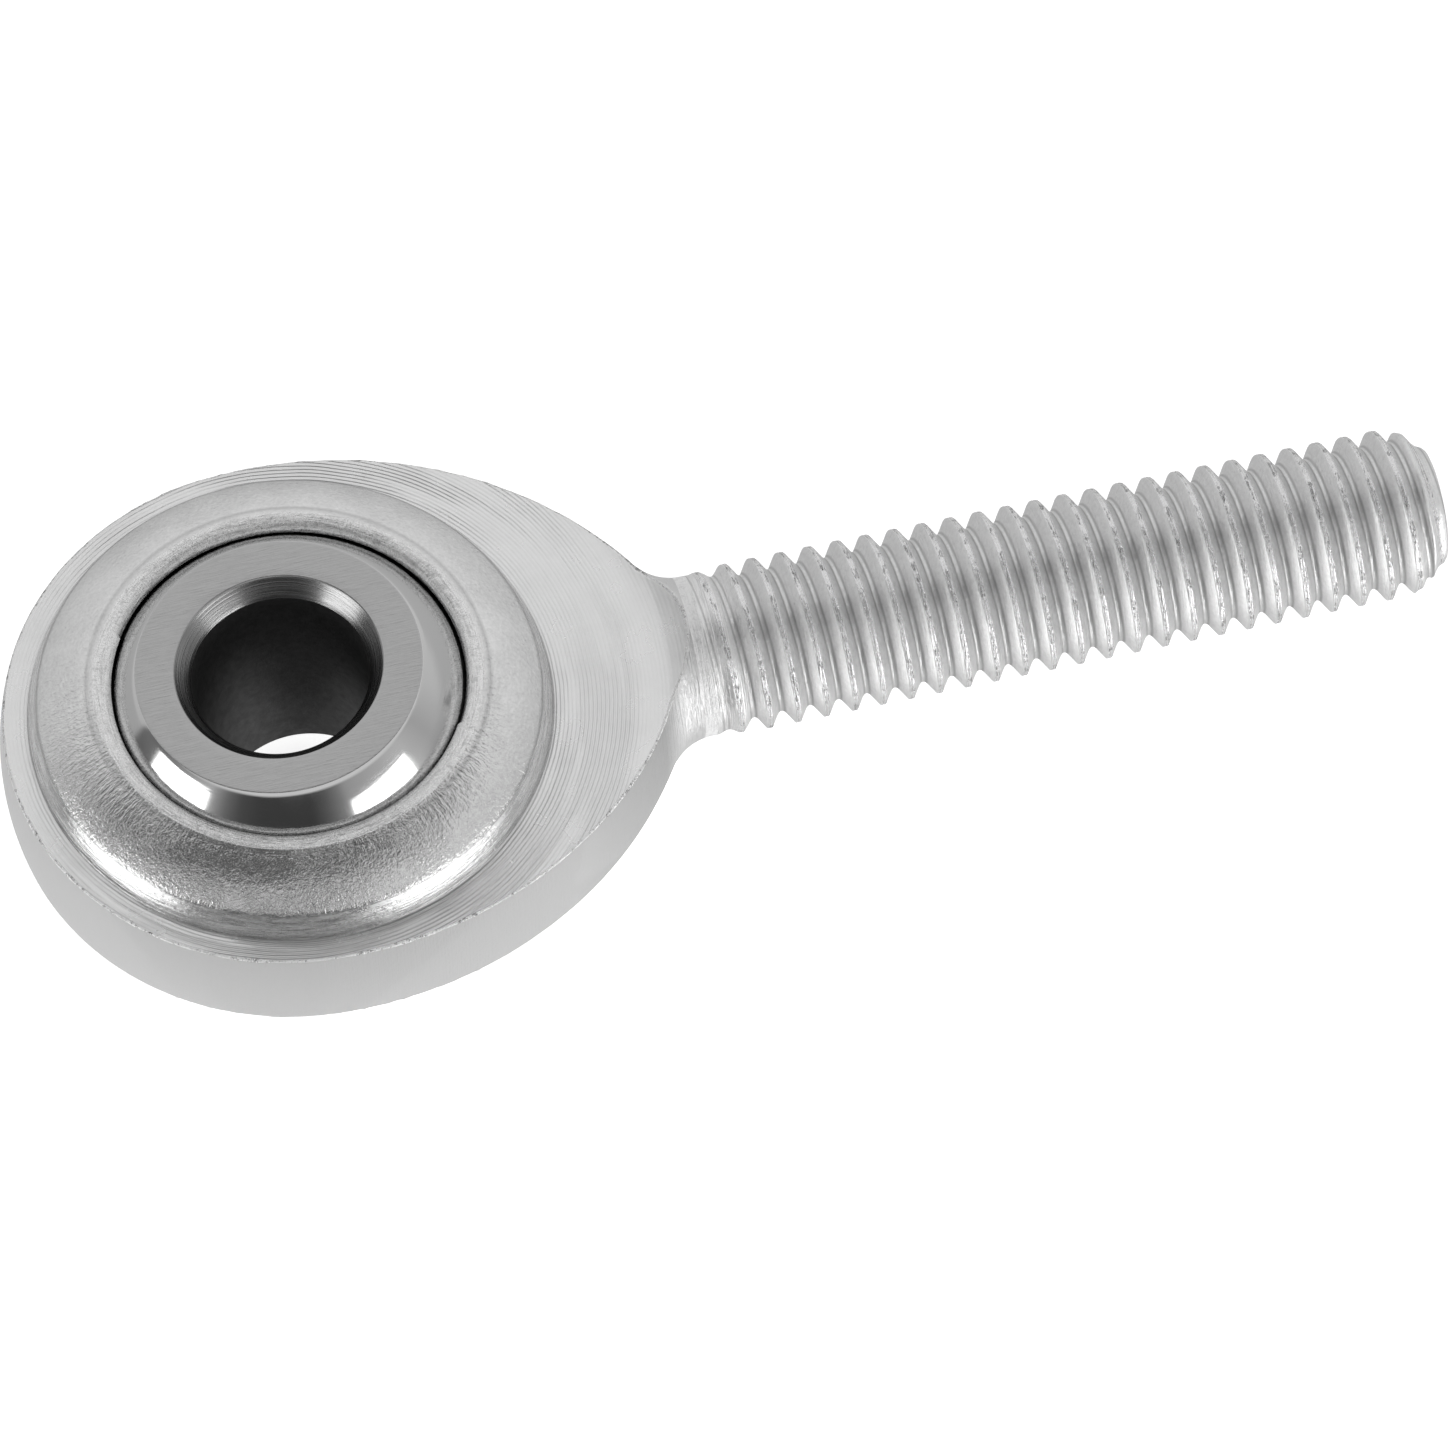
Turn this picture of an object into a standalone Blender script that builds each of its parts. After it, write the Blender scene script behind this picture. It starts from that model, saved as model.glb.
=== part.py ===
"""Male rod end bearing, 3/16 in bore, 10-32 UNF right-hand shank.

Two pieces: a one-piece steel body (eye, neck and threaded shank) and a hardened steel ball that is
locked into the eye by the body's own coined lips.

Frame: the origin is the centre of the ball, +X runs along the shank, +Z is square to the flat sides
of the eye. Units are metres.
"""
import math

import bpy
from mathutils import Vector

MM = 0.001
INCH = 0.0254

# Ball
BALL_D = 7 / 16 * INCH
BALL_W = 0.312 * INCH           # between the two end faces
BORE_D = 0.190 * INCH
BORE_CHAMFER_R = 0.43 * MM      # at the upper end only, measured across and along the bore
BORE_CHAMFER_Z = 0.5 * MM
BALL_LEAN = math.radians(-3.3)  # about Y; the free ball sits with its bore leaning away from the shank

# Eye, seen along Z
HEAD_D = 5 / 8 * INCH
SIDE_R = 11.8 * MM                    # long arc that draws the eye in towards the neck
SIDE_START = math.radians(-4.3)       # where that arc leaves the head's circle, from +Y towards +X
SHOULDER_ANGLE = math.radians(57)     # how steeply the arc ends, to the shank's axis
NECK_FILLET = 1.5 * MM
NECK_D = 4.44 * MM

# Eye, in section through the bore
FLAT_T = 3.06 * MM              # across the faced flats
FACING_R = 9.7 * MM             # the flats end here, on the way to the neck
FACING_CORNER_R = 1.44 * MM     # the facing tool's corner, left as a hollow ramp up to the neck
DOME_H = 0.252 * INCH           # across the ridges of both coined lips
RIDGE_D = 10.4 * MM
LIP_D = 9.72 * MM               # top of the lip's inner edge
LIP_DROP = 0.11 * MM            # from the ridge down to that edge
SEAM_D = 10.88 * MM             # where the lip ends and the dome's pressed top begins
SEAM_DROP = 0.065 * MM
CREASE_D = 13.68 * MM           # between the pressed top and the turned shoulder
CREASE_H = 4.6 * MM             # across the creases of both domes
DOME_FOOT_D = 14.24 * MM
TOP_SLOPES = math.radians(19), math.radians(42)        # at the seam and at the crease
SHOULDER_SLOPES = math.radians(58), math.radians(82)   # at the crease and at the foot
MOUTH_D = 9.6 * MM              # the opening that the ball shows through
SOCKET_CLEARANCE = 0.06 * MM

# Shank
SHANK_END = 32.06 * MM          # from the ball's centre
THREAD_D = 4.66 * MM
THREAD_ROOT_D = 3.86 * MM
PITCH = INCH / 32
THREAD_START = 11.35 * MM
RUN_OUT = 1.5 * PITCH
CREST_PHASE = 12.373 * MM       # a crest crosses the +Y side here
CREST_FLAT = 0.24               # shares of the pitch
ROOT_FLAT = 0.20
TIP_D = 3.0 * MM
TIP_CHAMFER = 1.0 * MM

# Facets
AROUND_BORE = 48
AROUND_SHANK = 24
ARC_STEP = math.radians(8)


def arc(centre, radius, start, end):
    """Points on an arc in a plane, both ends included; angles run from the first axis to the second."""
    steps = max(1, math.ceil(abs(end - start) / ARC_STEP))
    angles = [start + (end - start) * i / steps for i in range(steps + 1)]
    return [(centre[0] + radius * math.cos(a), centre[1] + radius * math.sin(a)) for a in angles]


def material(name, colour, roughness):
    """A plain metal."""
    finish = bpy.data.materials.new(name)
    finish.use_nodes = True
    shader = finish.node_tree.nodes["Principled BSDF"]
    shader.inputs["Base Color"].default_value = (*colour, 1.0)
    shader.inputs["Metallic"].default_value = 1.0
    shader.inputs["Roughness"].default_value = roughness
    return finish


def add_object(name, points, faces, finish=None):
    """A mesh object at the origin, shaded smooth with its edges kept."""
    mesh = bpy.data.meshes.new(name)
    mesh.from_pydata(points, [], faces)
    mesh.validate()
    mesh.shade_smooth()
    mesh.set_sharp_from_angle(angle=math.radians(30))
    if finish:
        mesh.materials.append(finish)
    made = bpy.data.objects.new(name, mesh)
    bpy.context.scene.collection.objects.link(made)
    return made


def turn_about_z(profile):
    """Points and faces of a ring turned about Z from a closed (radius, z) outline, anticlockwise."""
    count = len(profile)
    points = []
    for j in range(AROUND_BORE):
        angle = 2 * math.pi * j / AROUND_BORE
        points += [(r * math.cos(angle), r * math.sin(angle), z) for r, z in profile]
    faces = []
    for j in range(AROUND_BORE):
        here, there = j * count, (j + 1) % AROUND_BORE * count
        for i in range(count):
            k = (i + 1) % count
            faces.append((here + i, there + i, there + k, here + k))
    return points, faces


def ball():
    """The ball: a sphere with two faced ends and a bore, swivelling about the origin."""
    radius, half, bore = BALL_D / 2, BALL_W / 2, BORE_D / 2
    face_angle = math.asin(half / radius)
    outline = arc((0, 0), radius, -face_angle, face_angle)
    outline += [(bore + BORE_CHAMFER_R, half), (bore, half - BORE_CHAMFER_Z), (bore, -half)]
    steel = material("hard_chromed_steel", (0.62, 0.62, 0.62), 0.12)
    piece = add_object("ball", *turn_about_z(outline), steel)
    piece.rotation_euler = (0, BALL_LEAN, 0)
    return piece


def bend(start, end, slopes):
    """Points of a fall from start to end that steepens from the first slope to the last."""
    across, fall = end[0] - start[0], start[1] - end[1]
    first, last = slopes
    run = (across * math.sin(last) - fall * math.cos(last)) / math.sin(last - first)
    corner = Vector(start) + run * Vector((math.cos(first), -math.sin(first)))
    steps = math.ceil((last - first) / ARC_STEP)
    points = []
    for i in range(steps + 1):
        t = i / steps
        points.append((1 - t) ** 2 * Vector(start) + 2 * t * (1 - t) * corner + t ** 2 * Vector(end))
    return points


def dome_side():
    """(radius, z) points over the upper dome, from the mouth outwards to its foot on the flat."""
    top = DOME_H / 2
    seam = (SEAM_D / 2, top - SEAM_DROP)
    crease = (CREASE_D / 2, CREASE_H / 2)
    foot = (DOME_FOOT_D / 2, FLAT_T / 2)
    shoulder = bend(crease, foot, SHOULDER_SLOPES)
    return [(LIP_D / 2, top - LIP_DROP), (RIDGE_D / 2, top), *bend(seam, crease, TOP_SLOPES),
            *shoulder[1:]]


def eye_envelope():
    """Everything that the press and the facing tool leave standing, turned about the bore's axis."""
    socket, mouth = BALL_D / 2 + SOCKET_CLEARANCE, MOUTH_D / 2
    mouth_angle = math.acos(mouth / socket)
    flat = FLAT_T / 2
    clear_z = flat + 2 * FACING_CORNER_R     # above the neck
    clear_r = SHANK_END + 2 * MM             # beyond the tip
    ramp = arc((FACING_R, flat + FACING_CORNER_R), FACING_CORNER_R, -math.pi / 2, 0)
    upper = dome_side() + ramp + [(FACING_R + FACING_CORNER_R, clear_z), (clear_r, clear_z)]
    lower = [(r, -z) for r, z in upper]
    cavity = arc((0, 0), socket, mouth_angle, -mouth_angle)
    outline = cavity + lower + upper[::-1]
    envelope = add_object("eye_envelope", *turn_about_z(outline))
    envelope.hide_render = True
    envelope.display_type = "WIRE"
    return envelope


def blank_profile():
    """(x, radius) points of the turned blank, from just past the eye's far end to the thread."""
    head = HEAD_D / 2
    side_centre = ((SIDE_R - head) * -math.sin(SIDE_START), (SIDE_R - head) * -math.cos(SIDE_START))
    side_end = math.pi / 2 - SHOULDER_ANGLE
    side = arc(side_centre, SIDE_R, math.pi / 2 - SIDE_START, side_end)
    # The shoulder runs straight on from the side arc until the neck's fillet takes over.
    fillet_y = NECK_D / 2 + NECK_FILLET
    touch_y = fillet_y - NECK_FILLET * math.cos(SHOULDER_ANGLE)
    touch_x = side[-1][0] + (side[-1][1] - touch_y) / math.tan(SHOULDER_ANGLE)
    fillet_x = touch_x + NECK_FILLET * math.sin(SHOULDER_ANGLE)
    fillet = arc((fillet_x, fillet_y), NECK_FILLET, side_end - math.pi, -math.pi / 2)
    cap = arc((0, 0), head, math.pi, math.pi / 2 - SIDE_START)
    return cap[1:] + side[1:] + fillet + [(THREAD_START, NECK_D / 2)]


def thread_radius(x, full):
    """The radius at x of a thread point whose radius in the full form is full."""
    cut = min(1.0, max(0.0, (x - THREAD_START) / RUN_OUT))
    radius = NECK_D / 2 + cut * (full - NECK_D / 2)
    from_tip = (SHANK_END - x) / TIP_CHAMFER
    return min(radius, TIP_D / 2 + max(0.0, from_tip) * (THREAD_D - TIP_D) / 2)


def blank():
    """The whole blank, turned about X, with its helical thread; columns run along X."""
    columns = AROUND_SHANK
    angles = [2 * math.pi * j / columns for j in range(columns)]
    points = [(-HEAD_D / 2, 0, 0)]
    faces = []

    def add(x, radius, angle):
        points.append((x, radius * math.cos(angle), radius * math.sin(angle)))
        return len(points) - 1

    rings = [[add(x, radius, a) for a in angles] for x, radius in blank_profile()]
    for j in range(columns):
        k = (j + 1) % columns
        faces.append((0, rings[0][k], rings[0][j]))
        for low, high in zip(rings, rings[1:]):
            faces.append((low[j], low[k], high[k], high[j]))

    # Each turn has four corners, and every column starts a little later along the helix. Corners
    # that fall outside the thread's two ends meet in the end's own ring.
    form = [(-CREST_FLAT / 2, THREAD_D / 2), (CREST_FLAT / 2, THREAD_D / 2),
            (0.5 - ROOT_FLAT / 2, THREAD_ROOT_D / 2), (0.5 + ROOT_FLAT / 2, THREAD_ROOT_D / 2)]
    turns_before = math.ceil((CREST_PHASE - THREAD_START) / PITCH) + 2
    turns = turns_before + math.ceil((SHANK_END - CREST_PHASE) / PITCH) + 1
    start_ring = rings[-1]
    tip_ring = [add(SHANK_END, TIP_D / 2, a) for a in angles]
    corners = {}

    def corner(i, j):
        """The vertex of corner i in column j; the column after the last is the first, one turn on."""
        i, j = (i + len(form), 0) if j == columns else (i, j)
        turn, step = divmod(i, len(form))
        shift, full = form[step]
        x = CREST_PHASE + PITCH * (turn - turns_before + shift + j / columns)
        if x <= THREAD_START + PITCH / 20:
            return start_ring[j]
        if x >= SHANK_END - PITCH / 20:
            return tip_ring[j]
        if (i, j) not in corners:
            corners[i, j] = add(x, thread_radius(x, full), angles[j])
        return corners[i, j]

    for i in range((turns + 1) * len(form)):
        for j in range(columns):
            around = [corner(i, j), corner(i, j + 1), corner(i + 1, j + 1), corner(i + 1, j)]
            distinct = [v for n, v in enumerate(around) if v != around[n - 1]]
            if len(distinct) > 2:
                faces.append(distinct)
    faces.append(tip_ring)
    return points, faces


def body():
    """The eye, neck and shank in one piece: the blank, kept where the eye's envelope is."""
    zinc = material("zinc_plated_steel", (0.72, 0.72, 0.73), 0.35)
    piece = add_object("rod_end_body", *blank(), zinc)
    shaping = piece.modifiers.new("eye", "BOOLEAN")
    shaping.operation = "INTERSECT"
    shaping.solver = "EXACT"
    shaping.object = eye_envelope()
    return piece


def main():
    for old in list(bpy.data.objects):
        bpy.data.objects.remove(old, do_unlink=True)
    body()
    ball()


main()
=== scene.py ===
"""Looks of the rod end bearing: finely meshed body and ball, their metals, and the studio.

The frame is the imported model's: the ball's centre at the origin, +X along the shank, +Z square to
the flats. Lengths are metres.
"""

import math

import bpy
import numpy as np
from mathutils import Matrix, Vector, noise


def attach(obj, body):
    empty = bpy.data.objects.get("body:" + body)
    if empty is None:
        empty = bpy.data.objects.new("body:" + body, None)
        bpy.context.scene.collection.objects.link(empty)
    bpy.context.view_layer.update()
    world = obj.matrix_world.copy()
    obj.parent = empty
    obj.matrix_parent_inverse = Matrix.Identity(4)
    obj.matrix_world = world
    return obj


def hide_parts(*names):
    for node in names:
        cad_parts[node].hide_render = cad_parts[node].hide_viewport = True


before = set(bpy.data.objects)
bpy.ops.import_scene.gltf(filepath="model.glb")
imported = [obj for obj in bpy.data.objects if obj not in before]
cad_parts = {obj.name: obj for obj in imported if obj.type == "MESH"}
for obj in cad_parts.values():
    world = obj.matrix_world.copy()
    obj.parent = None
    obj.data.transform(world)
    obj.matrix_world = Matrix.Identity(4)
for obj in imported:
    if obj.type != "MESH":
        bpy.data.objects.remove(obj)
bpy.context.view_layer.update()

MM = 0.001
INCH = 0.0254
TAU = 2 * math.pi

# The ball, as in the CAD model
BALL_D = 7 / 16 * INCH
BALL_W = 0.312 * INCH
BORE_D = 0.190 * INCH
BORE_CHAMFER_R = 0.43 * MM      # at the upper end only, measured across and along the bore
BORE_CHAMFER_Z = 0.5 * MM
BALL_LEAN = math.radians(-3.3)
BALL_EDGE_R = 0.006 * MM

# The eye, seen along Z
HEAD_D = 5 / 8 * INCH
SIDE_R = 11.8 * MM
SIDE_START = math.radians(-4.3)
SHOULDER_ANGLE = math.radians(57)
NECK_FILLET = 1.5 * MM
NECK_D = 4.44 * MM

# The eye, in section through the bore
FLAT_Z = 1.53 * MM
FACING_R = 9.7 * MM
FACING_CORNER_R = 1.44 * MM
DOME_FOOT_R = 7.12 * MM
RIDGE_Z = 0.126 * INCH          # top of the coined lip
# The lip's section, in millimetres: radius, and drop below its ridge.
LIP_SECTION = [(4.82, 0.2), (4.832, 0.155), (4.86, 0.115), (4.895, 0.08), (4.93, 0.057),
               (5.0, 0.032), (5.1, 0.01), (5.18, 0.0), (5.23, 0.005), (5.28, 0.018),
               (5.33, 0.036), (5.38, 0.058), (5.41, 0.07), (5.43, 0.075)]
LIP_END = 5.3                   # radius in that section where the lip's metal ends
LIP_LUMPS = 0.016 * MM
# One side of the lip's mouth is wider: its middle and half its spread, in degrees; how much the
# wide and the narrow side grow at the mouth, and over what distance that fades.
WIDE_MIDDLE, WIDE_HALF = 60, 89
WIDE_GROWTH, NARROW_GROWTH = 0.006, -0.011
MOUTH_FADE = 0.2 * MM
SEAM_R = 5.45 * MM              # between the lip and the dome's pressed top
SEAM_Z = RIDGE_Z - 0.078 * MM
CREASE_R = 6.84 * MM            # between the pressed top and the turned shoulder
CREASE_Z = 2.30 * MM
TOP_SLOPES = 19, 42             # degrees, at the seam and at the crease
SHOULDER_SLOPES = 60, 80        # degrees, at the crease and at the foot
MOUTH_R = 4.8 * MM
SOCKET_R = BALL_D / 2 + 0.06 * MM
EDGE_BREAK = 0.05 * MM          # of the rim between the flats and the side band
RIM_RANGE = 7.0 * MM, 11.13 * MM    # radii between which the blank's surface is looked for

# The shank
SHANK_END = 32.06 * MM
THREAD_D = 4.66 * MM
THREAD_ROOT_D = 3.86 * MM
PITCH = INCH / 32
THREAD_START = 11.35 * MM
THREAD_END = SHANK_END - 0.04 * MM
RUN_OUT = 1.5 * PITCH
CREST_PHASE = 12.373 * MM       # x of a crest at the angle 0, measured from +Y towards +Z
# The tip's rounded point, in millimetres: distance back from the end, and radius there.
TIP = [(0.0, 1.44), (0.03, 1.53), (0.1, 1.62), (0.28, 1.7), (0.42, 1.86), (0.57, 2.1),
       (0.75, 2.17), (0.97, 2.23), (1.15, 2.34)]
# Half of the thread's form, from the crest's middle to the root's: place in pitches, and share of
# the depth. Rolling leaves a shallow seam along the crest.
FORM = [(0.0, 0.975), (0.045, 1.0), (0.085, 0.985), (0.105, 0.94), (0.2, 0.65), (0.3, 0.345),
        (0.36, 0.175), (0.41, 0.07), (0.455, 0.018), (0.5, 0.0)]

# Mesh density
AROUND_EYE = 368
HALF_SHANK = 36                 # columns over half of the shank's girth
AROUND_BALL = 320
FLAT_ROWS = 0.015, 0.07, 0.3, 0.6, 0.85, 1.0    # places of the rows over the flat and the ramp
RAMP_ROWS = 0.15, 0.35, 0.55, 0.75, 0.9, 1.0
TOUCHING = 0.01 * MM            # thread vertices this close to an end join it

# Zones of the body's and the ball's surface, in the order of their materials
SOCKET, LIP, DOME, SHOULDER, FLAT, RIM, SIDE, NECK, THREAD = range(9)
SPHERE, FACE, CHAMFER, BORE = range(4)


# ---------------------------------------------------------------- shapes

def arc(centre, radius, start, end, steps):
    """Points on an arc in a plane, both ends included, angles from the first axis to the second."""
    return [(centre[0] + radius * math.cos(a), centre[1] + radius * math.sin(a))
            for a in np.linspace(start, end, steps + 1)]


def bend(start, end, slopes, steps):
    """Points of a fall from start to end that steepens from the first slope to the last."""
    first, last = np.radians(slopes)
    across, fall = end[0] - start[0], start[1] - end[1]
    run = (across * math.sin(last) - fall * math.cos(last)) / math.sin(last - first)
    corner = np.array(start) + run * np.array([math.cos(first), -math.sin(first)])
    t = np.linspace(0, 1, steps + 1)[:, None]
    return (1 - t) ** 2 * np.array(start) + 2 * t * (1 - t) * corner + t ** 2 * np.array(end)


def eye_section():
    """(radius, z, zone) from the socket's equator over the lip and dome to the dome's foot."""
    mouth_angle = math.acos(MOUTH_R / SOCKET_R)
    rows = [(r, z, SOCKET) for r, z in arc((0, 0), SOCKET_R, 0, mouth_angle, 6)]
    rows += [(r * MM, RIDGE_Z - drop * MM, LIP if r < LIP_END else DOME)
             for r, drop in LIP_SECTION]
    crease = (CREASE_R, CREASE_Z)
    rows += [(r, z, DOME) for r, z in bend((SEAM_R, SEAM_Z), crease, TOP_SLOPES, 12)]
    shoulder = bend(crease, (DOME_FOOT_R, FLAT_Z), SHOULDER_SLOPES, 8)
    rows += [(r, z, SHOULDER) for r, z in shoulder[1:]]
    return rows


def blank_curve():
    """(x, radius) points of the turned blank, from the head's far end to the shank's end."""
    head = HEAD_D / 2
    side_centre = ((SIDE_R - head) * -math.sin(SIDE_START), (SIDE_R - head) * -math.cos(SIDE_START))
    side_end = math.pi / 2 - SHOULDER_ANGLE
    side = arc(side_centre, SIDE_R, math.pi / 2 - SIDE_START, side_end, 300)
    fillet_y = NECK_D / 2 + NECK_FILLET
    touch_y = fillet_y - NECK_FILLET * math.cos(SHOULDER_ANGLE)
    touch_x = side[-1][0] + (side[-1][1] - touch_y) / math.tan(SHOULDER_ANGLE)
    fillet_x = touch_x + NECK_FILLET * math.sin(SHOULDER_ANGLE)
    fillet = arc((fillet_x, fillet_y), NECK_FILLET, side_end - math.pi, -math.pi / 2, 80)
    cap = arc((0, 0), head, math.pi, math.pi / 2 - SIDE_START, 400)
    return np.array(cap + side[1:] + fillet + [(SHANK_END, NECK_D / 2)])


BLANK = blank_curve()


def blank_radius(x):
    return np.interp(x, BLANK[:, 0], BLANK[:, 1])


def top_height(r):
    """z of the faced flat and, beyond the facing radius, of the hollow ramp the tool left."""
    over = np.clip(r - FACING_R, 0, FACING_CORNER_R)
    return FLAT_Z + FACING_CORNER_R - np.sqrt(FACING_CORNER_R ** 2 - over ** 2)


def level_at(z):
    """A height for outer_radius that is the same at every radius."""
    return lambda radii: np.full_like(radii, z)


def outer_radius(angle, height):
    """The first radius along a ray from the bore's axis where the blank's surface is reached;
    height gives z at each radius."""
    radii = np.linspace(*RIM_RANGE, 1200)
    z = height(radii)
    gap = (radii * math.sin(angle)) ** 2 + z ** 2 - blank_radius(radii * math.cos(angle)) ** 2
    k = int(np.argmax(gap > 0))
    share = gap[k - 1] / (gap[k - 1] - gap[k])
    return radii[k - 1] + share * (radii[k] - radii[k - 1])


def bumps(point, scale, seed=0.0, octaves=3):
    """Fractal noise, about -1 to 1, at a point; scale is the size of its largest lumps."""
    at = Vector(point) / scale + Vector((seed, seed * 0.7, -seed))
    return noise.fractal(at, 1.0, 2.0, octaves)


class Skin:
    """Collects rows of vertices and the faces between them."""

    def __init__(self):
        self.points, self.faces, self.zones = [], [], []

    def row(self, points):
        """Adds vertices and returns their numbers."""
        first = len(self.points)
        self.points += [tuple(p) for p in points]
        return list(range(first, len(self.points)))

    def join(self, low, high, zone, closed=True):
        """Faces between two rows of the same length."""
        count = len(low)
        for i in range(count if closed else count - 1):
            k = (i + 1) % count
            self.face([low[i], high[i], high[k], low[k]], zone)

    def face(self, corners, zone):
        """Adds a face, without the corners that repeat the one before."""
        distinct = [v for n, v in enumerate(corners) if v != corners[n - 1]]
        if len(distinct) > 2:
            self.faces.append(distinct)
            self.zones.append(zone)

    def build(self, name, materials):
        mesh = bpy.data.meshes.new(name)
        mesh.from_pydata(self.points, [], self.faces)
        for material in materials:
            mesh.materials.append(material)
        mesh.polygons.foreach_set("material_index", self.zones)
        mesh.validate()
        mesh.shade_smooth()
        made = bpy.data.objects.new(name, mesh)
        bpy.context.scene.collection.objects.link(made)
        return made


def eye_rim(angles):
    """The rim between the top faces and the blank's surface: for each angle the last point on top,
    the broken corner, and the first point on the blank's surface."""
    radii = np.array([outer_radius(a, top_height) for a in angles])
    edge = np.stack([radii * np.cos(angles), radii * np.sin(angles), top_height(radii)], 1)
    tangent = np.roll(edge, -1, 0) - np.roll(edge, 1, 0)
    inner, corner, outer = [], [], []
    for a, r, e, t in zip(angles, radii, edge, tangent):
        width = EDGE_BREAK * (1 + 0.6 * bumps(e, 0.45 * MM, 3.0))
        r_in = r - width
        inner.append((r_in * math.cos(a), r_in * math.sin(a), top_height(r_in)))
        if math.cos(a) <= 1e-9:
            z_out = e[2] - width
            r_out = outer_radius(a, level_at(z_out))
            outer.append((r_out * math.cos(a), r_out * math.sin(a), z_out))
        else:
            outer.append(slide(e, t, width))
        middle = (np.array(inner[-1]) + np.array(outer[-1])) / 2
        burr = 0.45 + 0.9 * max(0.0, bumps(e, 0.3 * MM, 9.0))
        corner.append(middle + (e - middle) * burr)
    return np.array(inner), np.array(corner), np.array(outer)


def slide(point, along, distance):
    """A point on the blank's surface moved square to a direction, over the surface, away from the
    flats."""
    x, phi = point[0], math.atan2(point[2], point[1])
    step = 0.01 * MM
    slope = (blank_radius(x + step) - blank_radius(x - step)) / (2 * step)
    down = Vector((1, slope * math.cos(phi), slope * math.sin(phi))).normalized()
    around = Vector((0, -math.sin(phi), math.cos(phi)))
    away = down.cross(around).cross(Vector(along)).normalized()
    if away.z > 1e-6 or (abs(away.z) <= 1e-6 and away.x < 0):
        away = -away
    x += distance * away.dot(down) / math.sqrt(1 + slope ** 2)
    phi += distance * away.dot(around) / blank_radius(x)
    r = blank_radius(x)
    return x, r * math.cos(phi), r * math.sin(phi)


def side_rows(outer):
    """Rows down the side band, from the upper rim to the lower. The first and last point of a row
    are the neck's two sides at the same x."""
    rows = []
    for j in range(1, HALF_SHANK):
        share = 1 - 2 * j / HALF_SHANK
        row = []
        for i in range(AROUND_EYE + 1):
            x, y, z = outer[i % AROUND_EYE]
            side = -1 if i > AROUND_EYE // 2 else 1
            if x > 1e-6 * MM:
                phi = share * math.atan2(z, abs(y))
                r = blank_radius(x)
                row.append((x, side * r * math.cos(phi), r * math.sin(phi)))
            else:
                a = math.atan2(y, x)
                level = share * z
                r = outer_radius(a, level_at(level))
                row.append((r * math.cos(a), r * math.sin(a), level))
        rows.append(row)
    return rows


def thread_form(u):
    """Share of the thread's depth at u, in pitches from the crest's middle."""
    place, share = np.array(FORM).T
    return float(np.interp(abs(u), place, share))


def tip_radius(x):
    back, radius = np.array(TIP).T * MM
    return float(np.interp(SHANK_END - x, back, radius, right=THREAD_D))


def shank_radius(x, u):
    """Radius of the threaded shank at x; u is the place in the thread's form."""
    full = THREAD_ROOT_D / 2 + thread_form(u) * (THREAD_D - THREAD_ROOT_D) / 2
    cut = min(1.0, max(0.0, (x - THREAD_START) / RUN_OUT))
    radius = NECK_D / 2 + cut * (full - NECK_D / 2)
    return min(radius, tip_radius(x))


def shank(skin, ring, start_x):
    """The neck, thread and tip, from the eye's last ring on."""
    columns = 2 * HALF_SHANK
    phis = [math.pi / 2 - math.pi * c / HALF_SHANK for c in range(columns)]

    def circle(x, radius):
        return skin.row([(x, radius * math.cos(p), radius * math.sin(p)) for p in phis])

    for x in np.linspace(start_x, THREAD_START, 6)[1:]:
        following = circle(x, blank_radius(x))
        skin.join(ring, following, NECK)
        ring = following
    places = [place for place, _ in FORM]
    shape = [-place for place in places[:0:-1]] + places[:-1]
    samples = len(shape)
    tip = circle(THREAD_END, tip_radius(THREAD_END))
    first = math.floor((THREAD_START - CREST_PHASE) / PITCH) - 1
    last = math.ceil((SHANK_END - CREST_PHASE) / PITCH) + 2
    known = {}

    def vertex(m, c):
        """The vertex at sample m along the thread and column c around it."""
        if c == columns:
            m, c = m - samples, 0
        turn, step = divmod(m, samples)
        x = CREST_PHASE + PITCH * (turn + shape[step] + phis[c] / TAU)
        if x <= THREAD_START + TOUCHING:
            return ring[c]
        if x >= THREAD_END - TOUCHING:
            return tip[c]
        if (m, c) not in known:
            r = shank_radius(x, shape[step])
            known[m, c] = skin.row([(x, r * math.cos(phis[c]), r * math.sin(phis[c]))])[0]
        return known[m, c]

    for m in range(first * samples, last * samples):
        for c in range(columns):
            skin.face([vertex(m, c), vertex(m + 1, c), vertex(m + 1, c + 1), vertex(m, c + 1)],
                      THREAD)
    edge = tip_radius(SHANK_END)
    for x, radius in ((SHANK_END - 0.01 * MM, edge - 0.005 * MM), (SHANK_END, edge - 0.03 * MM),
                      (SHANK_END, edge * 0.8), (SHANK_END, edge * 0.4)):
        following = circle(x, radius)
        skin.join(tip, following, THREAD)
        tip = following
    centre = skin.row([(SHANK_END, 0, 0)])[0]
    for c in range(columns):
        skin.face([tip[c], centre, tip[(c + 1) % columns]], THREAD)


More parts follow.
